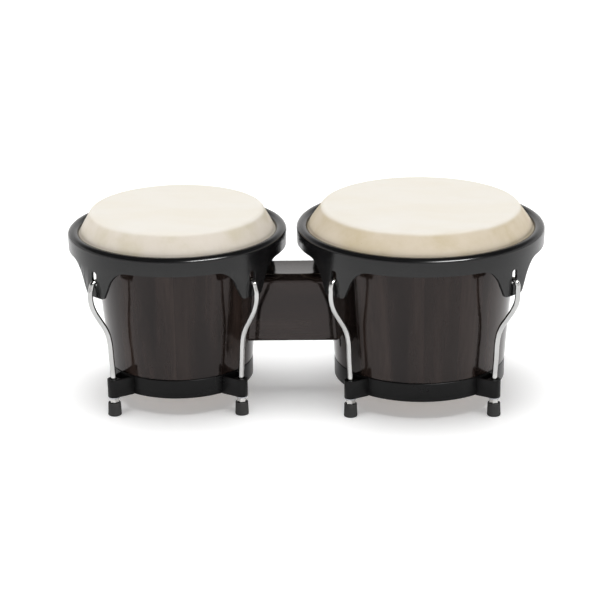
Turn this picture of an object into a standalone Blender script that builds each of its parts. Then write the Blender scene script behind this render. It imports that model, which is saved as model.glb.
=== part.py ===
"""Bongo drums: a small and a large drum joined by a block, standing on eight rubber feet.

Each drum is a tapered wooden shell with a skin stretched over its top. A steel rim presses on
the hoop inside the skin's edge, and four hooked rods pull the rim down. Each rod runs through
an ear of the bottom ring, where a tuning nut takes its thread and a rubber foot covers the nut.
The origin is on the ground under the middle of the whole width, X runs from the small drum to
the large one, and the player sits on the -Y side.
"""
import math
from dataclasses import dataclass

import bmesh
import bpy
from mathutils import Matrix, Vector

# ---------------------------------------------------------------- driving dimensions, in metres
GAP = 0.0003                 # air left between pieces that touch
AXIS_SPACING = 0.2312        # between the drums' upright axes
RIM_RADII = (0.1040, 0.1178)     # outer radius of the small and of the large rim
ROUND = 40                   # segments of every large turned piece
SMALL_ROUND = 12             # segments of every small turned piece

SHELL_WALL = 0.009
SHELL_FOOT_Z = 0.0209        # the shell's lower edge, on the bottom ring's inner lip
BEARING_ROUND = 0.0035       # rounding of the edge that the skin is stretched over

RING_Z = (0.0190, 0.0373)    # lower and upper edge of the bottom ring
RING_WALL = 0.0016
RING_LIP = 0.0060            # how far its inner lip reaches in under the shell
EAR_TOP_DROP = 0.0008        # its ears end this far below its upper edge
EAR_RADIUS = 0.0060          # the round end that the rod passes through
EAR_ROOT = 0.0100            # half width of an ear where it leaves the ring
EAR_WALL = 0.0020

SKIN = 0.0012                # thickness of the skin
HOOP_RADIUS = 0.0030         # section of the round hoop inside the skin's edge
HOOP_DROP = 0.0091           # from the rim's top down to the hoop's centre
HOOP_INSET = 0.0014          # from the rim's inner edge out to the hoop's centre

RIM_WALL = 0.0026
RIM_UNDER = 0.0043           # from the crest down to the underside that presses on the skin
RIM_CREST = 0.0042           # from the rounded crest down to the rim's edges
RIM_BAND = 0.0168            # height of the band between the ears
RIM_EAR = 0.0462             # height from the rim's top to the ear's lower end
RIM_DRAFT = 0.0008           # the band and ears draw in this far towards their lower end
RIM_EAR_HALF = 0.0130        # half width of an ear at its lower end
RIM_EAR_CORNER = 0.0040
RIM_EAR_NECK = 0.0172        # half width of an ear where it starts to flare
RIM_EAR_FLARE = (0.0235, 0.0348)     # half axes of the curve between the band and an ear

ROD_RADIUS = 0.0026
ROD_END_Z = 0.0055
HOOK_BEND = 0.0055           # bend of the hook that lies in the ear's hole
HOOK_DROP = 0.0315           # from the rim's top to the middle of the hook's top
BOW_DROP = 0.0445            # from the rim's top to the widest place of a rod's bow
HOLE_HALF = 0.0034           # half width of the ear's arched hole
HOLE_BELOW = 0.0036          # the hole's floor below the hook, and its springing above
HOLE_ABOVE = 0.0069
ROD_CLEARANCE = 0.0007       # around the rod in the ears of the bottom ring
THREAD_CLEARANCE = 0.0003

WASHER_RADIUS = 0.0054
WASHER_Z = (0.0173, 0.0186)
NUT_FLATS = 0.0080           # across the flats of the hexagon
NUT_Z = (0.0105, 0.0170)
FOOT_RADIUS = (0.0065, 0.0060)   # at the ground and at the top
FOOT_TOP = 0.0130
FOOT_CHAMFER = 0.0008
FOOT_FLOOR = 0.0045          # rubber under the end of the rod

BLOCK_Z = (0.0604, 0.1263)
BLOCK_HALF_DEPTH = 0.0268
BLOCK_TOP_ROUND = 0.0075
BLOCK_BOTTOM_ROUND = 0.0030
BLOCK_REACH = 0.062          # rough length to each side before its ends are cut to the shells
BOLT_HEIGHTS = (0.075, 0.112)
BOLT_RADIUS = 0.0030
BOLT_HEAD = (0.0052, 0.0040)     # radius and height
BOLT_BITE = 0.020            # how deep a bolt reaches into the block
BOLT_CLEARANCE = 0.0004
PLATE_HALF_ANGLE = math.radians(9)
PLATE_THICKNESS = 0.0020
PLATE_MARGIN = 0.0120        # the backing plate's reach past its bolts
BOLT_WASHER = (0.0065, 0.0012)   # radius and thickness

QUARTERS = (("front_right", -45), ("back_right", 45), ("back_left", 135), ("front_left", 225))


@dataclass(frozen=True)
class Drum:
    """The dimensions in which the two drums differ."""
    name: str
    x: float              # the upright axis
    shell_low: float      # outer radius of the shell at the top of the bottom ring
    shell_high: float     # outer radius of the shell at the bearing edge
    skin_top: float       # height of the playing surface
    shoulder: float       # radius where the skin turns down
    rim_inner: float
    rim_outer: float
    rim_top: float
    rod_bulge: float      # radius of the rods where they bow out around the rim's ears
    rod_waist: float      # radius of the rods at the lower end of their bend
    rod_low: float        # radius of the rods at the bottom ring

    @property
    def shell_top(self):
        return self.skin_top - SKIN - GAP

    def shell_radius(self, z):
        """Outer radius of the tapered shell at a height."""
        share = (z - RING_Z[1]) / (self.shell_top - RING_Z[1])
        return self.shell_low + share * (self.shell_high - self.shell_low)

    @property
    def towards_block(self):
        return -math.copysign(1.0, self.x)


# The origin lies under the middle of the whole width, from rim to rim.
SMALL_X = (RIM_RADII[0] - RIM_RADII[1] - AXIS_SPACING) / 2
SMALL = Drum("small", SMALL_X, 0.0695, 0.0823, 0.1862, 0.0838,
             0.0931, RIM_RADII[0], 0.1687, 0.1088, 0.0885, 0.0855)
LARGE = Drum("large", SMALL_X + AXIS_SPACING, 0.0822, 0.0940, 0.1889, 0.0955,
             0.1070, RIM_RADII[1], 0.1713, 0.1214, 0.0990, 0.0957)


# ---------------------------------------------------------------- materials
def finish(name, colour, roughness, metallic=0.0):
    """A Principled material of one colour."""
    material = bpy.data.materials.new(name)
    material.use_nodes = True
    shader = material.node_tree.nodes["Principled BSDF"]
    shader.inputs["Base Color"].default_value = (*colour, 1.0)
    shader.inputs["Roughness"].default_value = roughness
    shader.inputs["Metallic"].default_value = metallic
    material.diffuse_color = (*colour, 1.0)
    return material


# ---------------------------------------------------------------- shape helpers
def add_object(name, data, location=(0, 0, 0), rotation=(0, 0, 0), material=None):
    """Put mesh or curve data into the scene as a named object."""
    obj = bpy.data.objects.new(name, data)
    obj.location = location
    obj.rotation_euler = rotation
    bpy.context.scene.collection.objects.link(obj)
    if material and material.name not in data.materials:
        data.materials.append(material)
    return obj


def mesh_from(bm, name, smooth_angle=None):
    """Turn a finished bmesh into mesh data with its faces pointing out."""
    bmesh.ops.recalc_face_normals(bm, faces=bm.faces)
    mesh = bpy.data.meshes.new(name)
    bm.to_mesh(mesh)
    bm.free()
    if smooth_angle is not None:
        mesh.shade_smooth()
        mesh.set_sharp_from_angle(angle=math.radians(smooth_angle))
    return mesh


def turned_mesh(name, profile, segments, smooth_angle=35):
    """Spin an outline of (radius, height) points about Z; it may end on the axis."""
    bm = bmesh.new()
    verts = [bm.verts.new((r, 0.0, z)) for r, z in profile]
    edges = [bm.edges.new(pair) for pair in zip(verts, verts[1:])]
    if profile[0][0] > 0 or profile[-1][0] > 0:
        edges.append(bm.edges.new((verts[-1], verts[0])))
    bmesh.ops.spin(bm, geom=verts + edges, cent=(0, 0, 0), axis=(0, 0, 1),
                   angle=2 * math.pi, steps=segments, use_merge=True)
    bmesh.ops.remove_doubles(bm, verts=bm.verts, dist=1e-6)
    return mesh_from(bm, name, smooth_angle)


def prism(bm, outline, low, high, matrix=Matrix.Identity(4)):
    """Add a closed prism: an outline in local XY between two local heights."""
    face = bm.faces.new([bm.verts.new((x, y, low)) for x, y in outline])
    grown = bmesh.ops.extrude_face_region(bm, geom=[face])["geom"]
    top = [item for item in grown if isinstance(item, bmesh.types.BMVert)]
    bmesh.ops.translate(bm, verts=top, vec=(0, 0, high - low))
    bmesh.ops.transform(bm, matrix=matrix, verts=list(set(face.verts) | set(top)))


def arc(centre, radius, start, stop, steps):
    """Points of an arc, its angles in degrees; a pair of radii makes it part of an ellipse."""
    across, up = radius if isinstance(radius, tuple) else (radius, radius)
    angles = [math.radians(start + (stop - start) * i / steps) for i in range(steps + 1)]
    return [(centre[0] + across * math.cos(a), centre[1] + up * math.sin(a)) for a in angles]


def cutter(name, bm_or_mesh, location=(0, 0, 0), rotation=(0, 0, 0)):
    """An object that only cuts others."""
    mesh = bm_or_mesh if isinstance(bm_or_mesh, bpy.types.Mesh) else mesh_from(bm_or_mesh, name)
    obj = add_object(name, mesh, location, rotation)
    obj.hide_render = True
    obj.display_type = "WIRE"
    return obj


def boolean(obj, tool, operation="DIFFERENCE"):
    modifier = obj.modifiers.new(tool.name, "BOOLEAN")
    modifier.operation = operation
    modifier.solver = "EXACT"
    modifier.object = tool


def quarter_matrices():
    """Turns that carry something made on +X to the four rod positions."""
    return [Matrix.Rotation(math.radians(angle), 4, "Z") for _, angle in QUARTERS]


def upright_radial():
    """Carries local XY to the tangent and height directions, and local Z to the radius, on +X."""
    return Matrix(((0, 0, 1, 0), (1, 0, 0, 0), (0, 1, 0, 0), (0, 0, 0, 1)))


# ---------------------------------------------------------------- the drum's large pieces
def make_shell(drum, material):
    """Tapered wooden shell, stepped in at the foot so that the bottom ring sits flush."""
    step_z = RING_Z[1] + GAP
    seat = drum.shell_low - RING_WALL - GAP
    top = drum.shell_top
    outer = drum.shell_high
    inner_top = outer - SHELL_WALL
    crown = arc((outer - BEARING_ROUND, top - BEARING_ROUND), BEARING_ROUND, 90, 0, 3)
    profile = [(inner_top + 0.001, top - 0.002), (outer - BEARING_ROUND - 0.002, top), *crown,
               (drum.shell_radius(step_z), step_z), (seat, step_z), (seat, SHELL_FOOT_Z),
               (drum.shell_radius(SHELL_FOOT_Z) - SHELL_WALL, SHELL_FOOT_Z),
               (inner_top, top - 0.006)]
    shell = add_object(f"{drum.name}_shell", turned_mesh(f"{drum.name}_shell", profile, ROUND),
                       (drum.x, 0, 0), material=material)
    boolean(shell, bolt_hole_cutter(drum, "shell"))
    return shell


def make_skin(drum, material):
    """Skin: flat top, sloping collar, and an edge wrapped over the hoop from outside."""
    hoop = (drum.rim_inner + HOOP_INSET, drum.rim_top - HOOP_DROP)
    inside = HOOP_RADIUS + GAP
    outside = inside + SKIN
    top = drum.skin_top
    bend = 0.005
    shoulder = arc((drum.shoulder - bend, top - bend), bend, 90, 25, 2)
    under = arc((drum.shoulder - bend, top - bend), bend - SKIN, 25, 90, 2)
    throat = drum.rim_inner - 0.0012
    profile = [(0, top), *shoulder,
               (throat - 0.0005, drum.rim_top), (throat + 0.0003, drum.rim_top - 0.0026),
               *arc(hoop, outside, 100, -150, 6),
               *arc(hoop, inside, -150, 125, 6),
               (throat - 0.0010, drum.rim_top - 0.0037), (throat - 0.0018, drum.rim_top - 0.0002),
               *under, (0, top - SKIN)]
    return add_object(f"{drum.name}_skin", turned_mesh(f"{drum.name}_skin", profile, ROUND),
                      (drum.x, 0, 0), material=material)


def make_hoop(drum, material):
    """Steel hoop that the skin is wrapped over."""
    centre = (drum.rim_inner + HOOP_INSET, drum.rim_top - HOOP_DROP)
    profile = arc(centre, HOOP_RADIUS, 0, -360, 6)[:-1]
    return add_object(f"{drum.name}_flesh_hoop", turned_mesh(f"{drum.name}_hoop", profile, ROUND, 60),
                      (drum.x, 0, 0), material=material)


def rim_ear_outline(drum):
    """An ear and the curves at its root, as (tangent, height) points."""
    low = drum.rim_top - RIM_EAR
    band = drum.rim_top - RIM_BAND
    neck = RIM_EAR_NECK
    across, up = RIM_EAR_FLARE
    root = neck + across * math.cos(math.radians(30))
    corner = arc((RIM_EAR_HALF - RIM_EAR_CORNER, low + RIM_EAR_CORNER), RIM_EAR_CORNER, -90, -20, 3)
    flare = arc((root, band - up), RIM_EAR_FLARE, 150, 90, 5)
    right = [*corner, *flare, (root, band + 0.004)]
    left = [(-x, z) for x, z in reversed(right)]
    return right + left


def make_rim(drum, material):
    """Steel rim: rounded top, band, and four ears that hang down to take the hooks."""
    top = drum.rim_top
    low = top - RIM_EAR
    inner = drum.rim_inner
    outer = drum.rim_outer
    wall_in = outer - RIM_WALL
    half = (outer - inner) / 2
    crown = arc((inner + half, top - RIM_CREST), (half, RIM_CREST), 160, 0, 8)
    profile = [*crown,
               (outer - RIM_DRAFT, low), (outer - RIM_DRAFT - RIM_WALL, low),
               (wall_in, top - RIM_UNDER - 0.0020), (wall_in - 0.0020, top - RIM_UNDER),
               (inner + 0.0012, top - RIM_UNDER), (inner + 0.0002, top - RIM_UNDER + 0.0010)]
    rim = add_object(f"{drum.name}_rim", turned_mesh(f"{drum.name}_rim", profile, ROUND),
                     (drum.x, 0, 0), material=material)

    ears = bmesh.new()
    holes = bmesh.new()
    hook_z = top - HOOK_DROP
    arch = [(-HOLE_HALF, hook_z - HOLE_BELOW), (HOLE_HALF, hook_z - HOLE_BELOW),
            *arc((0, hook_z + HOLE_ABOVE), HOLE_HALF, 0, 180, 6)]
    for turn in quarter_matrices():
        place = turn @ upright_radial()
        prism(ears, rim_ear_outline(drum), outer - 0.030, outer + 0.020, place)
        prism(holes, arch, outer - 0.010, outer + 0.010, place)
    ears_tool = cutter(f"{drum.name}_ear_shapes", ears, (drum.x, 0, 0))
    below = [(outer - 0.010, top - RIM_BAND), (outer + 0.010, top - RIM_BAND),
             (outer + 0.010, low - 0.004), (outer - 0.010, low - 0.004)]
    skirt_tool = cutter(f"{drum.name}_skirt_waste", turned_mesh("skirt_waste", below, ROUND),
                        (drum.x, 0, 0))
    boolean(skirt_tool, ears_tool)
    boolean(rim, skirt_tool)
    boolean(rim, cutter(f"{drum.name}_ear_holes", holes, (drum.x, 0, 0)))
    return rim


def make_bottom_ring(drum, material):
    """Steel ring under the shell, with four looped ears that the rods pass through."""
    low, high = RING_Z
    outer = drum.shell_low + 0.0001
    profile = [(outer - RING_WALL, high), (outer, high), (outer, low), (outer - RING_LIP, low),
               (outer - RING_LIP, low + RING_WALL), (outer - RING_WALL, low + RING_WALL)]
    ring = add_object(f"{drum.name}_bottom_ring", turned_mesh(f"{drum.name}_ring", profile, ROUND),
                      (drum.x, 0, 0), material=material)

    rod = drum.rod_low
    root = outer - 0.0006
    spread = math.degrees(math.asin((EAR_ROOT - EAR_RADIUS) / (rod - root)))
    ear = [(root, -EAR_ROOT), *arc((rod, 0), EAR_RADIUS, spread - 90, 90 - spread, 8),
           (root, EAR_ROOT)]
    pocket_in = outer + 0.0004
    pocket_out = rod - EAR_RADIUS + 0.0012
    slope = (EAR_ROOT - EAR_RADIUS) / (rod - root)
    wide = EAR_ROOT - EAR_WALL
    narrow = wide - slope * (pocket_out - pocket_in)
    pocket = [(pocket_in, -wide), (pocket_out, -narrow), (pocket_out, narrow), (pocket_in, wide)]
    bore = arc((rod, 0), ROD_RADIUS + ROD_CLEARANCE, 0, 360, SMALL_ROUND)[:-1]
    ears = bmesh.new()
    hollows = bmesh.new()
    for turn in quarter_matrices():
        prism(ears, ear, low, high - EAR_TOP_DROP, turn)
        prism(hollows, pocket, low - 0.002, high + 0.002, turn)
        prism(hollows, bore, low - 0.002, high + 0.002, turn)
    boolean(ring, cutter(f"{drum.name}_ring_ears", ears, (drum.x, 0, 0)), "UNION")
    boolean(ring, cutter(f"{drum.name}_ear_pockets", hollows, (drum.x, 0, 0)))
    return ring


# ---------------------------------------------------------------- rods, nuts and feet
def rod_route(drum):
    """A rod's centre line as (radius, height) points, from the hook's tip to the lower end."""
    ear = drum.rim_outer - RIM_DRAFT - RIM_WALL / 2
    bend_z = drum.rim_top - HOOK_DROP - HOOK_BEND
    hook = arc((ear, bend_z), HOOK_BEND, 180, 0, 4)
    bow_z = drum.rim_top - BOW_DROP
    bulge = drum.rod_bulge
    drop = bulge - drum.rod_waist
    return [(ear - HOOK_BEND, bend_z - 0.003), *hook,
            (bulge - 0.0004, bow_z + 0.0045), (bulge, bow_z), (bulge - 0.0008, bow_z - 0.0070),
            (bulge - 0.18 * drop, bow_z - 0.0150), (bulge - 0.50 * drop, bow_z - 0.0260),
            (bulge - 0.84 * drop, bow_z - 0.0375), (drum.rod_waist, bow_z - 0.0475),
            (drum.rod_low + 0.0012, 0.0560), (drum.rod_low, 0.0420), (drum.rod_low, ROD_END_Z)]


def make_rods(drum, material):
    """Four hooked tension rods, which share one curve."""
    curve = bpy.data.curves.new(f"{drum.name}_rod", "CURVE")
    curve.dimensions = "3D"
    curve.resolution_u = 1
    curve.bevel_depth = ROD_RADIUS
    curve.bevel_resolution = 2
    curve.use_fill_caps = True
    curve.twist_mode = "MINIMUM"
    spline = curve.splines.new("BEZIER")
    route = rod_route(drum)
    spline.bezier_points.add(len(route) - 1)
    for point, (radius, height) in zip(spline.bezier_points, route):
        point.co = (radius, 0, height)
        point.handle_left_type = "AUTO"
        point.handle_right_type = "AUTO"
    for point in spline.bezier_points[-2:]:
        point.handle_left_type = "VECTOR"
        point.handle_right_type = "VECTOR"
    for place, angle in QUARTERS:
        add_object(f"{drum.name}_rod_{place}", curve, (drum.x, 0, 0),
                   (0, 0, math.radians(angle)), material)


def nut_mesh(name):
    """Hexagon nut with a plain bore a little wider than the rod's thread."""
    bm = bmesh.new()
    bore = ROD_RADIUS + THREAD_CLEARANCE
    rings = []
    for flat in (True, False):
        ring = []
        for i in range(SMALL_ROUND):
            angle = 2 * math.pi * i / SMALL_ROUND
            across = NUT_FLATS / 2 / math.cos((angle + math.pi / 6) % (math.pi / 3) - math.pi / 6)
            reach = across if flat else bore
            ring.append(bm.verts.new((reach * math.cos(angle), reach * math.sin(angle), NUT_Z[0])))
        rings.append([bm.edges.new(pair) for pair in zip(ring, ring[1:] + ring[:1])])
    faces = bmesh.ops.bridge_loops(bm, edges=rings[0] + rings[1])["faces"]
    grown = bmesh.ops.extrude_face_region(bm, geom=faces)["geom"]
    top = [item for item in grown if isinstance(item, bmesh.types.BMVert)]
    bmesh.ops.translate(bm, verts=top, vec=(0, 0, NUT_Z[1] - NUT_Z[0]))
    return mesh_from(bm, name)


def foot_mesh(name):
    """Rubber foot pushed up over the nut, with room for the end of the rod."""
    wide, narrow = FOOT_RADIUS
    socket = NUT_FLATS / 2 / math.cos(math.pi / 6) + GAP
    socket = socket / math.cos(math.pi / SMALL_ROUND)
    bore = ROD_RADIUS + 2 * GAP
    seat = NUT_Z[0] - GAP
    profile = [(socket, FOOT_TOP), (narrow, FOOT_TOP), (wide, FOOT_CHAMFER),
               (wide - FOOT_CHAMFER, 0), (0, 0)]
    inside = [(0, FOOT_FLOOR), (bore, FOOT_FLOOR), (bore, seat), (socket, seat)]
    # The outline starts and ends on the axis: up the socket, over the top and down to the ground.
    return turned_mesh(name, inside + profile, SMALL_ROUND)


def make_nuts_and_feet(drum, nut_finish, washer_finish, rubber):
    """A washer, a tuning nut and a foot on the lower end of every rod."""
    nut = nut_mesh(f"{drum.name}_nut")
    foot = foot_mesh(f"{drum.name}_foot")
    bore = ROD_RADIUS + ROD_CLEARANCE
    low, high = WASHER_Z
    washer = turned_mesh(f"{drum.name}_washer", [(bore, high), (WASHER_RADIUS, high),
                                                 (WASHER_RADIUS, low), (bore, low)], SMALL_ROUND)
    for place, angle in QUARTERS:
        turn = math.radians(angle)
        spot = (drum.x + drum.rod_low * math.cos(turn), drum.rod_low * math.sin(turn), 0)
        add_object(f"{drum.name}_washer_{place}", washer, spot, (0, 0, turn), washer_finish)
        add_object(f"{drum.name}_nut_{place}", nut, spot, (0, 0, turn), nut_finish)
        add_object(f"{drum.name}_foot_{place}", foot, spot, (0, 0, turn), rubber)


# ---------------------------------------------------------------- the block and its bolts
def bolt_hole_cutter(drum, what):
    """Rods across the wall at the bolts' heights, for the holes of one piece."""
    bm = bmesh.new()
    disc = arc((0, 0), BOLT_RADIUS + BOLT_CLEARANCE, 0, 360, SMALL_ROUND)[:-1]
    sideways = Matrix.Rotation(math.pi / 2, 4, "Y")
    near = drum.shell_radius(BOLT_HEIGHTS[0]) - 0.030
    far = drum.shell_radius(BOLT_HEIGHTS[0]) + BOLT_BITE + 0.006
    for height in BOLT_HEIGHTS:
        prism(bm, disc, near, far, Matrix.Translation((0, 0, height)) @ sideways)
    facing = 0 if drum.towards_block > 0 else math.pi
    return cutter(f"{drum.name}_{what}_bolt_holes", bm, (drum.x, 0, 0), (0, 0, facing))


def make_block(material):
    """Block between the shells: rounded long edges, ends hollowed to fit both shells."""
    low, high = BLOCK_Z
    half = BLOCK_HALF_DEPTH
    top = BLOCK_TOP_ROUND
    bottom = BLOCK_BOTTOM_ROUND
    outline = [*arc((half - bottom, low + bottom), bottom, -90, 0, 2),
               *arc((half - top, high - top), top, 0, 90, 4),
               *arc((-half + top, high - top), top, 90, 180, 4),
               *arc((-half + bottom, low + bottom), bottom, 180, 270, 2)]
    bm = bmesh.new()
    along_x = Matrix(((0, 0, 1, 0), (1, 0, 0, 0), (0, 1, 0, 0), (0, 0, 0, 1)))
    prism(bm, outline, -BLOCK_REACH, BLOCK_REACH, along_x)
    block = add_object("centre_block", mesh_from(bm, "centre_block", 40), material=material)
    for drum in (SMALL, LARGE):
        below, above = low - 0.01, high + 0.01
        cone = [(0, above), (drum.shell_radius(above) + GAP, above),
                (drum.shell_radius(below) + GAP, below), (0, below)]
        boolean(block, cutter(f"{drum.name}_block_end", turned_mesh("block_end", cone, ROUND),
                              (drum.x, 0, 0)))
        boolean(block, bolt_hole_cutter(drum, "block"))
    return block


def make_block_fixings(drum, steel):
    """Curved backing plate inside the shell, and two bolts with washers into the block."""
    low = BOLT_HEIGHTS[0] - PLATE_MARGIN
    high = BOLT_HEIGHTS[1] + PLATE_MARGIN
    facing = 0 if drum.towards_block > 0 else math.pi

    def wall(height):
        """Inner radius of the shell, less the gap that the plate keeps."""
        return drum.shell_radius(height) - SHELL_WALL - GAP

    bm = bmesh.new()
    section = [(wall(high) - PLATE_THICKNESS, high), (wall(high), high),
               (wall(low), low), (wall(low) - PLATE_THICKNESS, low)]
    face = bm.faces.new([bm.verts.new((r, 0, z)) for r, z in section])
    bmesh.ops.rotate(bm, verts=bm.verts, cent=(0, 0, 0),
                     matrix=Matrix.Rotation(-PLATE_HALF_ANGLE, 3, "Z"))
    bmesh.ops.spin(bm, geom=[face, *face.edges, *face.verts], cent=(0, 0, 0), axis=(0, 0, 1),
                   angle=2 * PLATE_HALF_ANGLE, steps=4)
    plate = add_object(f"{drum.name}_backing_plate", mesh_from(bm, f"{drum.name}_plate"),
                       (drum.x, 0, 0), (0, 0, facing), steel)
    boolean(plate, bolt_hole_cutter(drum, "plate"))

    washer_radius, washer_thick = BOLT_WASHER
    head_radius, head_height = BOLT_HEAD
    taper = (drum.shell_radius(high) - drum.shell_radius(low)) / (high - low)
    bore = BOLT_RADIUS + GAP
    sideways = Matrix.Rotation(math.pi / 2, 4, "Y")
    for label, height in zip(("lower", "upper"), BOLT_HEIGHTS):
        seat = wall(height) - PLATE_THICKNESS - GAP - taper * washer_radius
        ring = turned_mesh(f"{drum.name}_bolt_washer", [
            (bore, seat), (washer_radius, seat), (washer_radius, seat - washer_thick),
            (bore, seat - washer_thick)], SMALL_ROUND)
        under = seat - washer_thick - GAP
        tip = drum.shell_radius(height) + BOLT_BITE
        bolt = turned_mesh(f"{drum.name}_bolt", [
            (0, tip), (BOLT_RADIUS, tip), (BOLT_RADIUS, under), (head_radius, under),
            (head_radius, under - 0.6 * head_height), (0.7 * head_radius, under - head_height),
            (0, under - head_height)], SMALL_ROUND)
        for mesh in (ring, bolt):
            mesh.transform(sideways)
        place = (drum.x, 0, height)
        add_object(f"{drum.name}_bolt_washer_{label}", ring, place, (0, 0, facing), steel)
        add_object(f"{drum.name}_block_bolt_{label}", bolt, place, (0, 0, facing), steel)


# ---------------------------------------------------------------- the whole object
def main():
    for old in list(bpy.data.objects):
        bpy.data.objects.remove(old, do_unlink=True)

    lacquer = finish("shell_lacquer", (0.030, 0.018, 0.016), 0.16)
    rawhide = finish("rawhide", (0.84, 0.79, 0.70), 0.55)
    enamel = finish("black_enamel", (0.012, 0.012, 0.013), 0.25)
    chrome = finish("chrome", (0.78, 0.78, 0.80), 0.12, 1.0)
    zinc = finish("zinc_steel", (0.58, 0.59, 0.61), 0.35, 1.0)
    rubber = finish("foot_rubber", (0.016, 0.016, 0.016), 0.75)
    hoop_steel = finish("hoop_steel", (0.30, 0.30, 0.31), 0.45, 1.0)

    for drum in (SMALL, LARGE):
        make_shell(drum, lacquer)
        make_skin(drum, rawhide)
        make_hoop(drum, hoop_steel)
        make_rim(drum, enamel)
        make_bottom_ring(drum, enamel)
        make_rods(drum, chrome)
        make_nuts_and_feet(drum, chrome, zinc, rubber)
        make_block_fixings(drum, zinc)
    make_block(lacquer)


main()
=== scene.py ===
# %% [markdown]
# # Bongo drums
# Two drums, a small one and a large one, are bolted to the ends of a wooden block. Each drum is a
# tapered wooden shell with a rawhide skin pulled over its top. A steel rim presses the skin down,
# four hooked rods pull on the rim, and each rod ends in a nut inside a rubber foot.
#
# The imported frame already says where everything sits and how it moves. This script makes the
# surfaces that are seen: every piece is modelled again more finely in its own place, takes over
# from its plain stand-in, and rides on the same body.

# %% Load the frame
import math
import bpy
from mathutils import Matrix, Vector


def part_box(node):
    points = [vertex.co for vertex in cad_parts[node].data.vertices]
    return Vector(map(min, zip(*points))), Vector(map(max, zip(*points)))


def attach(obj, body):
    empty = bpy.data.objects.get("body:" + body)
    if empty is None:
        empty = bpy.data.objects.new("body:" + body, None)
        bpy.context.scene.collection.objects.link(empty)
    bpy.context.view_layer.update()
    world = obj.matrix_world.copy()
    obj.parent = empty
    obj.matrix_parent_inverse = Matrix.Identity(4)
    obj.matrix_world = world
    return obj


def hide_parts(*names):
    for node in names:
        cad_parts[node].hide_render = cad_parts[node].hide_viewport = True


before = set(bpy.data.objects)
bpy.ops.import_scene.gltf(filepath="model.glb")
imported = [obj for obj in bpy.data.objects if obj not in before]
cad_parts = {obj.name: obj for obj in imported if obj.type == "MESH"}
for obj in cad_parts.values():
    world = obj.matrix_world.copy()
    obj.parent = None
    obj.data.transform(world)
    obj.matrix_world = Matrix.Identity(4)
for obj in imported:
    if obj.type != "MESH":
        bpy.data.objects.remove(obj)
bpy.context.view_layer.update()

from types import SimpleNamespace

import bmesh
import bpy
from mathutils import Matrix, Vector, noise

# %% [markdown]
# ## The sizes, read from the frame
# A maker measures the blank before cutting. The upright axes, heights and radii are measured on
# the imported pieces, so the fine pieces land on them without any fitting.

# %% Measure the two drums
GAP = 0.0003                 # air left between pieces that touch
ROD_RADIUS = 0.0026
QUARTERS = {"front_right": -45, "back_right": 45, "back_left": 135, "front_left": 225}


def radii(node, axis_x, low, high):
    """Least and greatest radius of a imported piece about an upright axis, between two heights."""
    places = [v.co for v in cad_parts[node].data.vertices if low <= v.co.z <= high]
    spans = [math.hypot(p.x - axis_x, p.y) for p in places]
    return min(spans), max(spans)


def measure(name):
    """The dimensions of one drum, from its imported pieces."""
    rim_low, rim_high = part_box(f"{name}_rim")
    ring_low, ring_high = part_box(f"{name}_bottom_ring")
    shell_low, shell_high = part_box(f"{name}_shell")
    washer_low, washer_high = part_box(f"{name}_washer_front_right")
    rod_low, rod_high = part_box(f"{name}_rod_front_right")
    drum = SimpleNamespace(name=name, x=(rim_low[0] + rim_high[0]) / 2)
    drum.rim_top, drum.rim_foot = rim_high[2], rim_low[2]
    drum.rim_outer = (rim_high[0] - rim_low[0]) / 2
    drum.rim_inner = radii(f"{name}_rim", drum.x, drum.rim_top - 0.004, drum.rim_top)[0]
    drum.skin_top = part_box(f"{name}_skin")[1][2]
    drum.ring_z = (ring_low[2], ring_high[2])
    drum.shell_foot, drum.shell_top = shell_low[2], shell_high[2]
    drum.shell_wide = radii(f"{name}_shell", drum.x, 0.150, 1)[1]
    drum.shell_narrow = radii(f"{name}_shell", drum.x, ring_high[2], ring_high[2] + 0.001)[1]
    drum.rod_low = math.hypot((washer_low[0] + washer_high[0]) / 2 - drum.x,
                              (washer_low[1] + washer_high[1]) / 2)
    drum.rod_bulge = radii(f"{name}_rod_front_right", drum.x, 0, 1)[1] - ROD_RADIUS
    drum.hook_z = rod_high[2] - ROD_RADIUS
    drum.rod_end = rod_low[2]
    return drum


DRUMS = [measure("small"), measure("large")]
for drum in DRUMS:
    print(drum.name, {key: value for key, value in vars(drum).items() if key != "name"})

# %% [markdown]
# ## The camera
# The object is seen from a little above, through a long lens, so both drums keep nearly the same
# scale. The camera looks at a point inside the object from a set distance, with a small turn and
# a small roll, as a tripod head would be left.

# %% Camera
AIM = Vector((-0.0065, 0.0, 0.0928))
DISTANCE = 2.015
PITCH, TURN, ROLL = math.radians(19.32), math.radians(0.706), math.radians(-0.656)

lens = bpy.data.cameras.new("studio_camera")
lens.lens = 125.5
lens.sensor_width = 36.0
camera = bpy.data.objects.new("studio_camera", lens)
bpy.context.scene.collection.objects.link(camera)
heading = Matrix.Rotation(TURN, 3, "Z") @ Matrix.Rotation(math.pi / 2 - PITCH, 3, "X")
camera.location = AIM + heading @ Vector((0, 0, DISTANCE))
camera.rotation_euler = (heading @ Matrix.Rotation(ROLL, 3, "Z")).to_euler()
bpy.context.scene.camera = camera
print("camera at", [round(c, 4) for c in camera.location])

# %% [markdown]
# ## Studio
# The drums stand on a plain white floor. Black gloss shows only what it reflects, so the room
# matters more than the lamps: it is white low down all round and dark overhead, which keeps the
# crests of the rims black. A wide soft sun from above lights the skins. It is hidden from
# reflections, and one slim strip overhead makes the short glints on the rims.

# %% Floor, room and lights
bpy.context.scene.view_settings.view_transform = "Standard"


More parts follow.
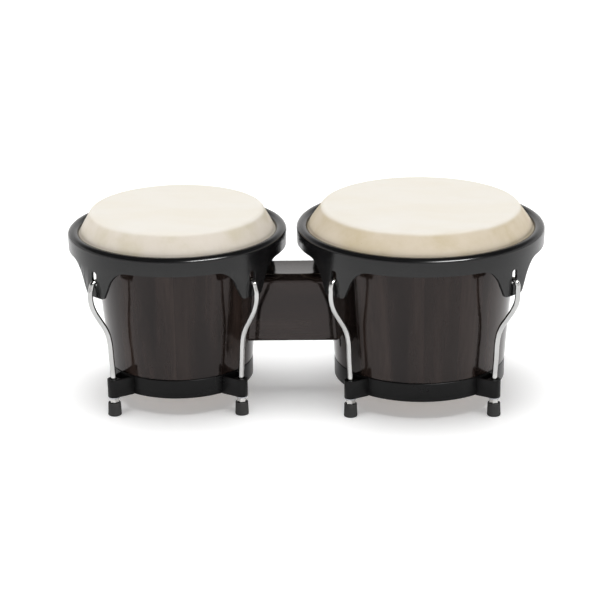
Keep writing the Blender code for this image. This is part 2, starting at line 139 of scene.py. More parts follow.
def plain_floor(half_width):
    """A matt white floor with a faint glow of its own, which keeps its far part white."""
    bm = bmesh.new()
    bmesh.ops.create_grid(bm, x_segments=1, y_segments=1, size=half_width)
    mesh = bpy.data.meshes.new("studio_floor")
    bm.to_mesh(mesh)
    bm.free()
    floor = bpy.data.objects.new("studio_floor", mesh)
    bpy.context.scene.collection.objects.link(floor)
    paint = bpy.data.materials.new("floor_paint")
    paint.use_nodes = True
    shader = paint.node_tree.nodes["Principled BSDF"]
    shader.inputs["Base Color"].default_value = (0.88, 0.88, 0.88, 1)
    shader.inputs["Roughness"].default_value = 0.9
    shader.inputs["Specular IOR Level"].default_value = 0.1
    shader.inputs["Emission Color"].default_value = (1, 1, 1, 1)
    shader.inputs["Emission Strength"].default_value = 0.28
    mesh.materials.append(paint)


def room(horizon, overhead, fade):
    """Surroundings that go from a bright horizon to a darker ceiling."""
    world = bpy.data.worlds.new("studio_room")
    bpy.context.scene.world = world
    world.use_nodes = True
    nodes, links = world.node_tree.nodes, world.node_tree.links
    direction = nodes.new("ShaderNodeTexCoord")
    split = nodes.new("ShaderNodeSeparateXYZ")
    ramp = nodes.new("ShaderNodeValToRGB")
    links.new(direction.outputs["Generated"], split.inputs[0])
    links.new(split.outputs["Z"], ramp.inputs["Fac"])
    links.new(ramp.outputs["Color"], nodes["Background"].inputs["Color"])
    ramp.color_ramp.interpolation = "EASE"
    ramp.color_ramp.elements[0].position, ramp.color_ramp.elements[1].position = fade
    ramp.color_ramp.elements[0].color = (*horizon, 1)
    ramp.color_ramp.elements[1].color = (*overhead, 1)


def soft_sun(strength, spread, elevation, azimuth):
    """A wide sun that no reflection shows; its angles are in degrees."""
    data = bpy.data.lights.new("soft_sun", "SUN")
    data.energy = strength
    data.angle = math.radians(spread)
    sun = bpy.data.objects.new("soft_sun", data)
    sun.rotation_euler = (math.radians(90 - elevation), 0, math.radians(azimuth))
    sun.visible_glossy = False
    bpy.context.scene.collection.objects.link(sun)


def glint_light(name, place, aim, size, power):
    """A lamp that shows only as a reflection and lights nothing else."""
    data = bpy.data.lights.new(name, "AREA")
    data.shape = "RECTANGLE"
    data.size, data.size_y = size
    data.energy = power
    strip = bpy.data.objects.new(name, data)
    strip.location = place
    strip.rotation_euler = (Vector(aim) - Vector(place)).to_track_quat("-Z", "Y").to_euler()
    strip.visible_diffuse = False
    bpy.context.scene.collection.objects.link(strip)


plain_floor(8.0)
room(horizon=(1.0, 0.99, 0.98), overhead=(0.02, 0.02, 0.02), fade=(0.30, 0.62))
soft_sun(strength=3.3, spread=50, elevation=88, azimuth=-8)
glint_light("rim_glint", (0.97, -1.36, 2.03), (0, 0, 0.17), (1.2, 0.36), 85.0)

# %% [markdown]
# ## Shader groups shared by the finishes
# Four effects come back in almost every finish, so each is a node group with named sockets:
# a fine relief for bump, a value that wanders between two limits, two colours mixed in soft
# patches, and a mask of worn edges. Gloss itself stays in each material.

# %% Node helpers
def put(tree, kind, inputs=None, **settings):
    """Add a node; inputs maps a socket's name or number to a value or to another socket."""
    node = tree.nodes.new(kind)
    for key, value in settings.items():
        setattr(node, key, value)
    for key, value in (inputs or {}).items():
        if isinstance(value, bpy.types.NodeSocket):
            tree.links.new(value, node.inputs[key])
        else:
            node.inputs[key].default_value = value
    return node


def maths(tree, operation, first, second=0.0, third=0.0, clamp=False):
    """A Math node, by its result."""
    return put(tree, "ShaderNodeMath", {0: first, 1: second, 2: third},
               operation=operation, use_clamp=clamp).outputs[0]


def new_group(name, inputs, outputs):
    """An empty node group, its input node and its output node."""
    group = bpy.data.node_groups.new(name, "ShaderNodeTree")
    for label, kind, default in inputs:
        socket = group.interface.new_socket(label, in_out="INPUT", socket_type=kind)
        if default is not None:
            socket.default_value = default
    for label, kind in outputs:
        group.interface.new_socket(label, in_out="OUTPUT", socket_type=kind)
    return group, group.nodes.new("NodeGroupInput").outputs, group.nodes.new("NodeGroupOutput").inputs


def use(tree, group, **inputs):
    """Place a node group; underscores in the names stand for spaces."""
    named = {key.replace("_", " "): value for key, value in inputs.items()}
    return put(tree, "ShaderNodeGroup", named, node_tree=group)


# %% Fine relief, wandering value, two tones, worn edges
FLOAT, COLOUR, VECTOR = "NodeSocketFloat", "NodeSocketColor", "NodeSocketVector"


def build_relief():
    """Two sizes of noise added up, for orange peel, pores and the tooth of rubber."""
    group, given, result = new_group(
        "fine_relief", [("Vector", VECTOR, None), ("Scale", FLOAT, 300.0), ("Fine share", FLOAT, 0.3)],
        [("Height", FLOAT)])
    broad = put(group, "ShaderNodeTexNoise", {"Vector": given["Vector"], "Scale": given["Scale"],
                                              "Detail": 2.0})
    finer = maths(group, "MULTIPLY", given["Scale"], 4.0)
    fine = put(group, "ShaderNodeTexNoise", {"Vector": given["Vector"], "Scale": finer, "Detail": 1.0})
    mixed = put(group, "ShaderNodeMix", {0: given["Fine share"], 2: broad.outputs["Fac"],
                                         3: fine.outputs["Fac"]})
    group.links.new(mixed.outputs[0], result["Height"])
    return group


def build_wander():
    """A value that drifts between two limits, for roughness that is never quite even."""
    group, given, result = new_group(
        "wandering_value", [("Vector", VECTOR, None), ("Scale", FLOAT, 20.0), ("Low", FLOAT, 0.1),
                            ("High", FLOAT, 0.2)], [("Value", FLOAT)])
    drift = put(group, "ShaderNodeTexNoise", {"Vector": given["Vector"], "Scale": given["Scale"],
                                              "Detail": 4.0})
    ranged = put(group, "ShaderNodeMapRange", {"Value": drift.outputs["Fac"], "From Min": 0.3,
                                               "From Max": 0.7, "To Min": given["Low"],
                                               "To Max": given["High"]})
    group.links.new(ranged.outputs[0], result["Value"])
    return group


def build_two_tone():
    """Two colours in soft patches; Spread is how wide the change between them is."""
    group, given, result = new_group(
        "two_tone", [("Vector", VECTOR, None), ("Scale", FLOAT, 20.0), ("Middle", FLOAT, 0.5),
                     ("Spread", FLOAT, 0.2), ("First", COLOUR, (0, 0, 0, 1)),
                     ("Second", COLOUR, (1, 1, 1, 1))], [("Color", COLOUR), ("Mask", FLOAT)])
    patches = put(group, "ShaderNodeTexNoise", {"Vector": given["Vector"], "Scale": given["Scale"],
                                                "Detail": 5.0, "Roughness": 0.6})
    low = maths(group, "SUBTRACT", given["Middle"], given["Spread"])
    high = maths(group, "ADD", given["Middle"], given["Spread"])
    mask = put(group, "ShaderNodeMapRange", {"Value": patches.outputs["Fac"], "From Min": low,
                                             "From Max": high}, interpolation_type="SMOOTHSTEP")
    mixed = put(group, "ShaderNodeMix", {0: mask.outputs[0], 6: given["First"], 7: given["Second"]},
                data_type="RGBA")
    group.links.new(mixed.outputs[2], result["Color"])
    group.links.new(mask.outputs[0], result["Mask"])
    return group


def build_worn_edges():
    """A mask of convex edges, broken up by noise; it takes the pointiness of the surface."""
    group, given, result = new_group(
        "worn_edges", [("Vector", VECTOR, None), ("Pointiness", FLOAT, 0.5), ("Start", FLOAT, 0.52),
                       ("Amount", FLOAT, 0.5)], [("Mask", FLOAT)])
    broken = put(group, "ShaderNodeTexNoise", {"Vector": given["Vector"], "Scale": 180.0,
                                               "Detail": 3.0})
    full = maths(group, "ADD", given["Start"], 0.05)
    edge = put(group, "ShaderNodeMapRange", {"Value": given["Pointiness"], "From Min": given["Start"],
                                             "From Max": full})
    torn = maths(group, "MULTIPLY", edge.outputs[0], broken.outputs["Fac"])
    mask = maths(group, "MULTIPLY", torn, given["Amount"], clamp=True)
    group.links.new(mask, result["Mask"])
    return group


RELIEF, WANDER, TWO_TONE, WORN = build_relief(), build_wander(), build_two_tone(), build_worn_edges()
print("shader groups:", [group.name for group in (RELIEF, WANDER, TWO_TONE, WORN)])


def start_material(name, centre=(0, 0, 0), stretch=(1, 1, 1)):
    """A new material, its node tree, its Principled shader and its coordinates about a centre."""
    material = bpy.data.materials.new(name)
    material.use_nodes = True
    tree = material.node_tree
    coords = put(tree, "ShaderNodeTexCoord").outputs["Object"]
    moved = put(tree, "ShaderNodeVectorMath", {0: coords, 1: centre}, operation="SUBTRACT").outputs[0]
    scaled = put(tree, "ShaderNodeVectorMath", {0: moved, 1: stretch}, operation="MULTIPLY").outputs[0]
    return material, tree, tree.nodes["Principled BSDF"], moved, scaled


def bump(tree, shader, height, strength, distance):
    """Let a height value tilt the shader's normal."""
    node = put(tree, "ShaderNodeBump", {"Height": height, "Strength": strength, "Distance": distance})
    tree.links.new(node.outputs["Normal"], shader.inputs["Normal"])


# %% [markdown]
# ## Lacquer
# The shells and the block are stained nearly black, then sprayed with clear gloss and rubbed
# flat. Under the gloss a trace of brown grain is left, running up the shells and along the
# block. A shell is glued up from staves, whose joints telegraph through as faint lines. The
# inside of a shell is bare wood, which a face attribute marks.

# %% Lacquer material
STAVES = 16
DARK_STAIN, WARM_STAIN = (0.0012, 0.0010, 0.0011, 1), (0.0270, 0.0185, 0.0155, 1)
LIGHT_WOOD, BROWN_WOOD = (0.56, 0.37, 0.20, 1), (0.42, 0.25, 0.13, 1)
AMBER_GLOSS = (1.0, 0.90, 0.89, 1)       # clear lacquer is never quite colourless


def lacquer(name, centre, stretch, mirror, staves=False):
    """Stained and lacquered wood; mirror is how strongly the clear coat reflects."""
    material, tree, shader, moved, grain = start_material(name, centre, stretch)
    bands = use(tree, TWO_TONE, Vector=grain, Scale=4.5, Middle=0.5, Spread=0.22,
                First=DARK_STAIN, Second=WARM_STAIN)
    streaks = use(tree, WANDER, Vector=grain, Scale=26.0, Low=0.75, High=1.25).outputs["Value"]
    colour = put(tree, "ShaderNodeVectorMath", {0: bands.outputs["Color"], 1: streaks},
                 operation="MULTIPLY").outputs[0]
    height = use(tree, RELIEF, Vector=moved, Scale=90.0, Fine_share=0.15).outputs["Height"]
    if staves:
        turn = put(tree, "ShaderNodeTexGradient", {"Vector": moved}, gradient_type="RADIAL")
        count = maths(tree, "MULTIPLY", turn.outputs["Fac"], STAVES)
        number = maths(tree, "FLOOR", count)
        tone = put(tree, "ShaderNodeTexWhiteNoise", {"W": number}, noise_dimensions="1D")
        darker = put(tree, "ShaderNodeMapRange", {"Value": tone.outputs["Value"], "To Min": 0.6,
                                                  "To Max": 1.4})
        colour = put(tree, "ShaderNodeVectorMath", {0: colour, 1: darker.outputs[0]},
                     operation="MULTIPLY").outputs[0]
        middle = maths(tree, "ABSOLUTE", maths(tree, "SUBTRACT", maths(tree, "FRACT", count), 0.5))
        joint = put(tree, "ShaderNodeMapRange", {"Value": middle, "From Min": 0.485, "From Max": 0.5})
        height = maths(tree, "SUBTRACT", height, joint.outputs[0])
    gloss = use(tree, WANDER, Vector=moved, Scale=14.0, Low=0.055, High=0.12).outputs["Value"]
    if staves:
        bare = put(tree, "ShaderNodeAttribute", attribute_name="bare_wood").outputs["Fac"]
        wood = use(tree, TWO_TONE, Vector=grain, Scale=40.0, Middle=0.5, Spread=0.25,
                   First=BROWN_WOOD, Second=LIGHT_WOOD).outputs["Color"]
        colour = put(tree, "ShaderNodeMix", {0: bare, 6: colour, 7: wood}, data_type="RGBA").outputs[2]
        gloss = maths(tree, "MULTIPLY_ADD", bare, 0.6, gloss)
    tree.links.new(colour, shader.inputs["Base Color"])
    tree.links.new(gloss, shader.inputs["Roughness"])
    shader.inputs["Specular IOR Level"].default_value = mirror
    shader.inputs["Specular Tint"].default_value = AMBER_GLOSS
    bump(tree, shader, height, 0.06, 0.0006)
    return material


UPRIGHT_GRAIN, LENGTHWISE_GRAIN = (6.0, 6.0, 0.35), (0.35, 6.0, 6.0)
SHELL_LACQUER = {drum.name: lacquer(f"{drum.name}_shell_lacquer", (drum.x, 0, 0), UPRIGHT_GRAIN, 0.30,
                                    staves=True) for drum in DRUMS}
BLOCK_LACQUER = lacquer("block_lacquer", (0, 0, 0), LENGTHWISE_GRAIN, 0.40)
print("lacquers made")

# %% [markdown]
# ## Rawhide
# A skin is a real hide, soaked, pulled tight and dried. The beaten top goes cream white, the
# collar stays a warmer beige with yellowish clouds and fine fibres, and the edge under the rim
# carries a few dark specks. The collar is found by its height, so no map is needed. Its darker
# tone begins up on the round of the shoulder, where it is painted shade that dims the light there.

# %% Rawhide material
TOP_TONES = (0.72, 0.695, 0.645, 1), (0.70, 0.66, 0.58, 1)
SPECK = (0.30, 0.22, 0.12, 1)


def rawhide(drum, collar_tones):
    """A dried hide: its top, its collar in two tones, whose tone begins on the shoulder's bend as painted
    shade, and specks near its edge.
    """
    material, tree, shader, moved, fibres = start_material(
        f"{drum.name}_rawhide", (drum.x, 0, drum.skin_top), (1.0, 2.4, 1.0))
    top = use(tree, TWO_TONE, Vector=fibres, Scale=9.0, Middle=0.52, Spread=0.28,
              First=TOP_TONES[0], Second=TOP_TONES[1]).outputs["Color"]
    collar = use(tree, TWO_TONE, Vector=moved, Scale=20.0, Middle=0.52, Spread=0.15,
                 First=(*collar_tones[0], 1), Second=(*collar_tones[1], 1)).outputs["Color"]
    # The collar's tone begins up on the shoulder's bend. It is partly the collar's own colour and partly
    # painted shade that dims the light on that bend.
    height = put(tree, "ShaderNodeSeparateXYZ", {0: moved}).outputs["Z"]
    wobble = put(tree, "ShaderNodeTexNoise", {"Vector": moved, "Scale": 18.0}).outputs["Fac"]
    level = maths(tree, "MULTIPLY_ADD", wobble, 0.003, height)
    down = put(tree, "ShaderNodeMapRange", {"Value": level, "From Min": 0.0016, "From Max": -0.0026},
               interpolation_type="SMOOTHSTEP").outputs[0]
    colour = put(tree, "ShaderNodeMix", {0: down, 6: top, 7: collar}, data_type="RGBA").outputs[2]
    specks = put(tree, "ShaderNodeTexVoronoi", {"Vector": moved, "Scale": 130.0}).outputs["Distance"]
    spot = put(tree, "ShaderNodeMapRange", {"Value": specks, "From Min": 0.10,
                                            "From Max": 0.02}).outputs[0]
    sparse = put(tree, "ShaderNodeTexNoise", {"Vector": moved, "Scale": 60.0}).outputs["Fac"]
    few = put(tree, "ShaderNodeMapRange", {"Value": sparse, "From Min": 0.60,
                                           "From Max": 0.68}).outputs[0]
    spotted = maths(tree, "MULTIPLY", maths(tree, "MULTIPLY", spot, few), down)
    dark = put(tree, "ShaderNodeMix", {0: spotted, 6: colour, 7: SPECK}, data_type="RGBA").outputs[2]
    tree.links.new(dark, shader.inputs["Base Color"])
    sheen = use(tree, WANDER, Vector=moved, Scale=24.0, Low=0.42, High=0.60).outputs["Value"]
    tree.links.new(sheen, shader.inputs["Roughness"])
    shader.inputs["Specular IOR Level"].default_value = 0.08
    grain = use(tree, RELIEF, Vector=fibres, Scale=160.0, Fine_share=0.4).outputs["Height"]
    bump(tree, shader, grain, 0.25, 0.0004)
    return material


COLLARS = {"small": ((0.66, 0.605, 0.53), (0.58, 0.525, 0.41)),
           "large": ((0.60, 0.525, 0.415), (0.52, 0.44, 0.30))}
HIDES = {drum.name: rawhide(drum, COLLARS[drum.name]) for drum in DRUMS}
print("rawhide made")

# %% [markdown]
# ## Metal and rubber
# The rims and rings are steel under black enamel, with the slight orange peel of sprayed paint
# and thinner paint on their edges. The rings' enamel is also made darker and less mirroring, as
# painted shade. The rods are chromed, washers and bolts are zinc plated, the hoop inside the
# skin is plain dull steel, and the feet are matt moulded rubber.

# %% Enamel, chrome, zinc, steel and rubber
def coated(name, base, edge, roughness, metallic, peel, mirror=0.5):
    """A finish with uneven gloss, edges of another colour and a relief called peel, which is
    given as its scale, its finer share, its strength and its depth."""
    material, tree, shader, moved, _ = start_material(name)
    point = put(tree, "ShaderNodeNewGeometry").outputs["Pointiness"]
    mask = use(tree, WORN, Vector=moved, Pointiness=point, Start=0.53, Amount=0.6).outputs["Mask"]
    tone = use(tree, TWO_TONE, Vector=moved, Scale=35.0, Middle=0.5, Spread=0.3,
               First=(*base, 1), Second=(*(0.82 * part for part in base), 1)).outputs["Color"]
    colour = put(tree, "ShaderNodeMix", {0: mask, 6: tone, 7: (*edge, 1)}, data_type="RGBA").outputs[2]
    tree.links.new(colour, shader.inputs["Base Color"])
    rough = use(tree, WANDER, Vector=moved, Scale=30.0, Low=roughness[0],
                High=roughness[1]).outputs["Value"]
    tree.links.new(rough, shader.inputs["Roughness"])
    shader.inputs["Metallic"].default_value = metallic
    shader.inputs["Specular IOR Level"].default_value = mirror
    scale, fine_share, strength, depth = peel
    height = use(tree, RELIEF, Vector=moved, Scale=scale, Fine_share=fine_share).outputs["Height"]
    bump(tree, shader, height, strength, depth)
    return material


ENAMEL = coated("black_enamel", (0.0060, 0.0060, 0.0064), (0.014, 0.014, 0.014), (0.16, 0.24), 0.0,
                (420.0, 0.2, 0.12, 0.0003), mirror=0.36)
# The rings get a darker copy of the enamel that mirrors less. It is partly a duller satin finish and
# partly painted shade for the shadowed floor they reflect.
SHADED_RING_ENAMEL = coated("ring_enamel", (0.0042, 0.0042, 0.0044), (0.012, 0.012, 0.012), (0.26, 0.36), 0.0,
                     (420.0, 0.2, 0.15, 0.0003), mirror=0.14)
CHROME = coated("rod_chrome", (0.50, 0.50, 0.495), (0.62, 0.62, 0.61), (0.09, 0.17), 1.0,
                (900.0, 0.5, 0.05, 0.0001))
NUT_CHROME = coated("nut_chrome", (0.54, 0.53, 0.515), (0.66, 0.66, 0.65), (0.14, 0.24), 1.0,
                    (700.0, 0.5, 0.08, 0.0001))
ZINC = coated("zinc_plate", (0.54, 0.55, 0.58), (0.68, 0.68, 0.70), (0.28, 0.42), 1.0,
              (500.0, 0.4, 0.15, 0.0002))
HOOP_STEEL = coated("hoop_steel", (0.30, 0.29, 0.28), (0.42, 0.41, 0.40), (0.38, 0.55), 1.0,
                    (600.0, 0.4, 0.25, 0.0003))
RUBBER = coated("foot_rubber", (0.014, 0.014, 0.0135), (0.032, 0.031, 0.030), (0.62, 0.80), 0.0,
                (800.0, 0.5, 0.35, 0.0003))
print("metal and rubber made")

# %% [markdown]
# ## Tools of the workshop
# Nearly every piece here is turned, cut from plate, or bent from rod. So there is a lathe (an
# outline spun round the upright axis), a saw (a Boolean cut that is applied at once) and a
# plain extruded plate. Edges are broken with a small bevel, because real edges catch the light.

# %% Lathe, plate, cuts and bevels
ROUND = 160                  # steps of a large turned piece
SMALL_ROUND = 40             # steps of a small one


def arc(centre, radius, start, stop, steps):
    """Points of an arc, its angles in degrees; a radius may be (across, up) for an ellipse."""
    across, up = radius if isinstance(radius, tuple) else (radius, radius)
    angles = [math.radians(start + (stop - start) * i / steps) for i in range(steps + 1)]
    return [(centre[0] + across * math.cos(a), centre[1] + up * math.sin(a)) for a in angles]


def lathe(outline, steps=ROUND):
    """Spin (radius, height) points about Z. An outline off the axis is closed into a ring."""
    bm = bmesh.new()
    verts = [bm.verts.new((r, 0, z)) for r, z in outline]
    edges = [bm.edges.new(pair) for pair in zip(verts, verts[1:])]
    if outline[0][0] > 0 or outline[-1][0] > 0:
        edges.append(bm.edges.new((verts[-1], verts[0])))
    bmesh.ops.spin(bm, geom=verts + edges, cent=(0, 0, 0), axis=(0, 0, 1), angle=2 * math.pi,
                   steps=steps, use_merge=True)
    bmesh.ops.remove_doubles(bm, verts=bm.verts, dist=1e-6)
    bmesh.ops.recalc_face_normals(bm, faces=bm.faces)
    return bm


def plate(outline, low, high, matrix=Matrix.Identity(4), bm=None):
    """A flat outline pushed up into a plate, added to bm or to a new bmesh."""
    bm = bm or bmesh.new()
    face = bm.faces.new([bm.verts.new((x, y, low)) for x, y in outline])
    grown = bmesh.ops.extrude_face_region(bm, geom=[face])["geom"]
    top = [item for item in grown if isinstance(item, bmesh.types.BMVert)]
    bmesh.ops.translate(bm, verts=top, vec=(0, 0, high - low))
    bmesh.ops.transform(bm, matrix=matrix, verts=list(set(face.verts) | set(top)))
    return bm


def to_object(bm, name, matrix=Matrix.Identity(4)):
    """Write a bmesh into a new object, with its place in the mesh."""
    bmesh.ops.recalc_face_normals(bm, faces=bm.faces)
    bmesh.ops.transform(bm, matrix=matrix, verts=bm.verts)
    mesh = bpy.data.meshes.new(name)
    bm.to_mesh(mesh)
    bm.free()
    obj = bpy.data.objects.new(name, mesh)
    bpy.context.scene.collection.objects.link(obj)
    return obj


def bake_modifiers(obj):
    """Replace an object's mesh by what its modifiers make of it."""
    depsgraph = bpy.context.evaluated_depsgraph_get()
    mesh = bpy.data.meshes.new_from_object(obj.evaluated_get(depsgraph))
    obj.modifiers.clear()
    obj.data = mesh
    return obj


def cut(obj, bm, operation="DIFFERENCE"):
    """Cut, join or intersect an object with a bmesh, and throw the tool away."""
    tool = to_object(bm, f"{obj.name}_tool")
    modifier = obj.modifiers.new("cut", "BOOLEAN")
    modifier.operation = operation
    modifier.solver = "EXACT"
    modifier.object = tool
    bake_modifiers(obj)
    bpy.data.objects.remove(tool, do_unlink=True)
    return obj


def break_edges(obj, width, segments=2, angle=28):
    modifier = obj.modifiers.new("broken_edges", "BEVEL")
    modifier.width = width
    modifier.segments = segments
    modifier.limit_method = "ANGLE"
    modifier.angle_limit = math.radians(angle)
    return bake_modifiers(obj)


def ready(obj, node, body, material, smooth_angle=40):
    """Give a finished piece its shading, finish and body, and hide the imported node that it replaces."""
    obj.data.materials.clear()
    obj.data.materials.append(material)
    obj.data.shade_smooth()
    obj.data.set_sharp_from_angle(angle=math.radians(smooth_angle))
    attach(obj, body)
    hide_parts(node)
    obj.data.calc_loop_triangles()
    print(f"{obj.name}: {len(obj.data.loop_triangles)} triangles")
    return obj


def at_axis(drum, angle=0):
    """Carries a piece made about the origin to a drum's axis, turned by an angle in degrees."""
    return Matrix.Translation((drum.x, 0, 0)) @ Matrix.Rotation(math.radians(angle), 4, "Z")


ALONG_RADIUS = Matrix(((0, 0, 1, 0), (1, 0, 0, 0), (0, 1, 0, 0), (0, 0, 0, 1)))
SIDEWAYS = Matrix.Rotation(math.pi / 2, 4, "Y")


def side_of_block(drum):
    """0 where the block lies towards +X from the drum, 180 where it lies towards -X."""
    return 0 if drum.x < 0 else 180


# %% [markdown]
# ## Shells
# A shell is a tapered wooden tube. It is turned here from one outline: a rounded bearing edge
# for the skin at the top, a bare inside, and a step at the foot where the bottom ring sits
# flush. Two holes on the side of the block take its bolts.

# %% Shells
SHELL_WALL = 0.009
BEARING_ROUND = 0.0035
RING_WALL = 0.0016
TAPER_HEIGHTS = (0.150, 0.120, 0.090, 0.060)     # rows of points down the outside
STEP_EDGE, FOOT_EDGE = 0.0006, 0.0008
BOLT_HEIGHTS = (0.075, 0.112)
BOLT_RADIUS = 0.0030
BOLT_BORE = BOLT_RADIUS + 0.0004


def shell_radius(drum, z):
    """Outer radius of the tapered shell at a height."""
    low = drum.ring_z[1]
    share = (z - low) / (drum.shell_top - low)
    return drum.shell_narrow + share * (drum.shell_wide - drum.shell_narrow)


def bolt_bores(drum, radius):
    """Bars through the wall at the heights of the two bolts."""
    disc = arc((0, 0), radius, 0, 360, SMALL_ROUND)[:-1]
    near, far = shell_radius(drum, BOLT_HEIGHTS[0]) - 0.030, shell_radius(drum, BOLT_HEIGHTS[0]) + 0.026
    bm = bmesh.new()
    for height in BOLT_HEIGHTS:
        place = at_axis(drum, side_of_block(drum)) @ Matrix.Translation((0, 0, height)) @ SIDEWAYS
        plate(disc, near, far, place, bm)
    return bm


def shell(drum):
    """The turned shell, bare inside and bored for the block's bolts."""
    top, foot, step = drum.shell_top, drum.shell_foot, drum.ring_z[1] + GAP
    outer = drum.shell_wide
    seat = drum.shell_narrow - RING_WALL - GAP
    inner_top, inner_foot = outer - SHELL_WALL, shell_radius(drum, foot) - SHELL_WALL
    taper = [(shell_radius(drum, z), z) for z in TAPER_HEIGHTS]
    outline = [*arc((inner_top + 0.004, top - 0.004), 0.004, 180, 100, 5),
               *arc((outer - BEARING_ROUND, top - BEARING_ROUND), BEARING_ROUND, 90, 4, 8), *taper,
               (shell_radius(drum, step + STEP_EDGE), step + STEP_EDGE),
               (shell_radius(drum, step) - STEP_EDGE, step), (seat, step), (seat, foot),
               (inner_foot + FOOT_EDGE, foot), (inner_foot, foot + FOOT_EDGE)]
    bm = lathe(outline)
    bare = bm.faces.layers.float.new("bare_wood")
    for face in bm.faces:
        middle = face.calc_center_median()
        wall_middle = shell_radius(drum, middle.z) - SHELL_WALL * 0.6
        face[bare] = float(math.hypot(middle.x, middle.y) < wall_middle)
    piece = to_object(bm, f"{drum.name}_turned_shell", at_axis(drum))
    cut(piece, bolt_bores(drum, BOLT_BORE))
    return ready(piece, f"{drum.name}_shell", "drums", SHELL_LACQUER[drum.name])


for drum in DRUMS:
    shell(drum)

# %% [markdown]
# ## Skins and hoops
# A wet skin is lapped round a steel hoop and dries to that shape. The outline goes over the
# bearing edge, down the collar, under the rim and round the hoop. A hide is never quite even,
# so the spun collar is pushed in and out a little by smooth noise, with fine pleats at its edge.

# %% Skins and hoops
SKIN = 0.0012
HOOP_RADIUS = 0.0030
HOOP_DROP = 0.0091           # from the rim's top down to the hoop's centre
HOOP_INSET = 0.0014          # from the rim's inner edge out to the hoop's centre
SHOULDER_BEND = 0.005
PLEATS = 90
WAVE_DEPTH, RIPPLE_DEPTH, PLEAT_DEPTH = 0.0005, 0.00022, 0.00006


def hoop_centre(drum):
    return drum.rim_inner + HOOP_INSET, drum.rim_top - HOOP_DROP


def uneven(bm, drum):
    """Press smooth unevenness into the collar, and fine pleats where it turns under the rim."""
    for vert in bm.verts:
        drop = drum.skin_top - vert.co.z
        radius = math.hypot(vert.co.x, vert.co.y)
        if drop < 0.0004 or radius < 0.05 or vert.co.z < drum.rim_top - 0.0030:
            continue
        angle = math.atan2(vert.co.y, vert.co.x)
        on_collar = min(1.0, drop / 0.004)
        wave = noise.noise(Vector((math.cos(angle) * 2.2, math.sin(angle) * 2.2, drum.x * 40)))
        ripple = noise.noise(vert.co * 70)
        near_rim = max(0.0, 1 - (vert.co.z - drum.rim_top) / 0.008)
        pleat = math.sin(angle * PLEATS + 3 * wave) * near_rim
        push = on_collar * (WAVE_DEPTH * wave + RIPPLE_DEPTH * ripple + PLEAT_DEPTH * pleat)
        vert.co.x += math.cos(angle) * push
        vert.co.y += math.sin(angle) * push


def skin(drum):
    """The skin from its middle out, round the hoop, and back along its underside."""
    hoop = hoop_centre(drum)
    inside, outside = HOOP_RADIUS + GAP, HOOP_RADIUS + GAP + SKIN
    top, rim_top = drum.skin_top, drum.rim_top
    shoulder = drum.shell_wide + 0.0015
    throat = drum.rim_inner - 0.0012
    turn = (shoulder - SHOULDER_BEND, top - SHOULDER_BEND)
    over = arc(turn, SHOULDER_BEND, 90, 25, 10)
    under = arc(turn, SHOULDER_BEND - SKIN, 25, 90, 6)
    first, last = over[-1], (throat - 0.0005, rim_top)
    collar = [(first[0] + (last[0] - first[0]) * s, first[1] + (last[1] - first[1]) * s)
              for s in (0.2, 0.4, 0.6, 0.8, 1.0)]
    flat = [(turn[0] * share, top) for share in (0.0, 0.25, 0.5, 0.75, 0.9, 0.97)]
    outline = [*flat, *over, *collar, (throat - 0.0001, rim_top - 0.0013),
               (throat + 0.0003, rim_top - 0.0026),
               *arc(hoop, outside, 100, -150, 18), *arc(hoop, inside, -150, 125, 18),
               (throat - 0.0010, rim_top - 0.0037), (throat - 0.0018, rim_top - 0.0002),
               *under, (0, top - SKIN)]
    bm = lathe(outline, 2 * ROUND)
    uneven(bm, drum)
    piece = to_object(bm, f"{drum.name}_stretched_skin", at_axis(drum))
    return ready(piece, f"{drum.name}_skin", "drums", HIDES[drum.name], 60)


def hoop(drum):
    bm = lathe(arc(hoop_centre(drum), HOOP_RADIUS, 0, -360, 16)[:-1])
    piece = to_object(bm, f"{drum.name}_steel_hoop", at_axis(drum))
    return ready(piece, f"{drum.name}_flesh_hoop", "drums", HOOP_STEEL)


for drum in DRUMS:
    skin(drum)
    hoop(drum)

# %% [markdown]
# ## Rims
# A rim is pressed from steel: a soft round crest where the hands land, a band, and four ears
# that hang down and take the hooks. The whole skirt is turned first. Then everything below the
# band is cut away except the ears, and the arched holes are punched.

# %% Rims
RIM_WALL = 0.0026
RIM_UNDER = 0.0043           # from the crest down to the underside that presses on the skin
RIM_BAND = 0.0168            # height of the band between the ears
RIM_DRAFT = 0.0008           # the band and ears draw in this far towards their lower end
RIM_EAR_HALF, RIM_EAR_CORNER, RIM_EAR_NECK = 0.0130, 0.0040, 0.0172
RIM_EAR_FLARE = (0.0235, 0.0348)     # half axes of the curve between the band and an ear
CREST_DROP = 0.0042          # from the crest down to the rim's inner and outer edges
HOLE_HALF, HOLE_BELOW, HOLE_ABOVE = 0.0034, 0.0036, 0.0069
SAW_REACH = 0.010            # how far the cutting shapes go past the wall to each side


def ear_outline(drum):
    """An ear and the curves at its root, as (tangent, height) points."""
    low, band = drum.rim_foot, drum.rim_top - RIM_BAND
    across, up = RIM_EAR_FLARE
    root = RIM_EAR_NECK + across * math.cos(math.radians(30))
    corner = arc((RIM_EAR_HALF - RIM_EAR_CORNER, low + RIM_EAR_CORNER), RIM_EAR_CORNER, -90, -20, 8)
    flare = arc((root, band - up), RIM_EAR_FLARE, 150, 90, 16)
    right = [*corner, *flare, (root, band + 0.004)]
    return right + [(-x, z) for x, z in reversed(right)]


